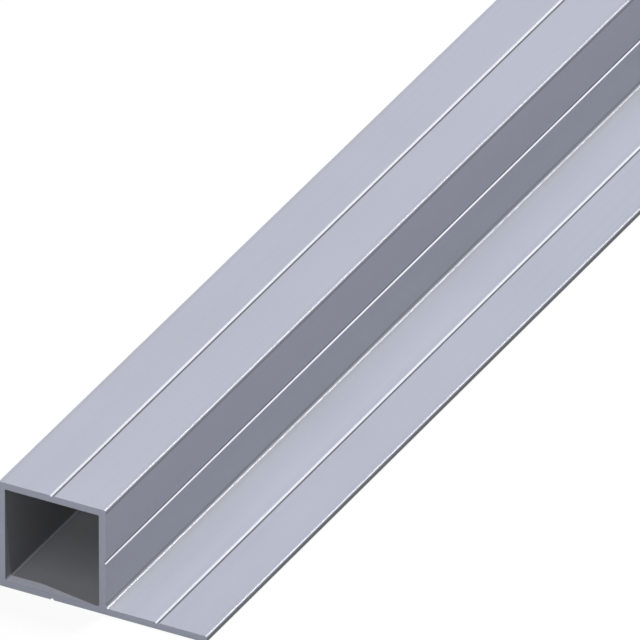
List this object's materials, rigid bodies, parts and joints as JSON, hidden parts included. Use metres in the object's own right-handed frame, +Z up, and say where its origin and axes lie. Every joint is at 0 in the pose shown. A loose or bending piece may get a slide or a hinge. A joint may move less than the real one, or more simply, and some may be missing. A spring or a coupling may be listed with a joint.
{
  "type": "square tube with flange",
  "caption": "Square hollow aluminium tube with one flat flange along its foot and shallow drill-guide grooves, extruded in one piece and sawn square.",
  "frame": {"origin": "middle of the length and of the overall width, on the underside it lies on", "axes": "+Y along the tube's length, +Z up from the underside to the tube's top, +X across towards the flange's free edge"},
  "size_m": [0.0492, 0.3048, 0.0254],
  "materials": {
    "aluminium": "clear satin anodised, fine extrusion lines along the length, sawn ends"
  },
  "bodies": {
    "root": {"flanged_tube": "aluminium"}
  },
  "joints": []
}
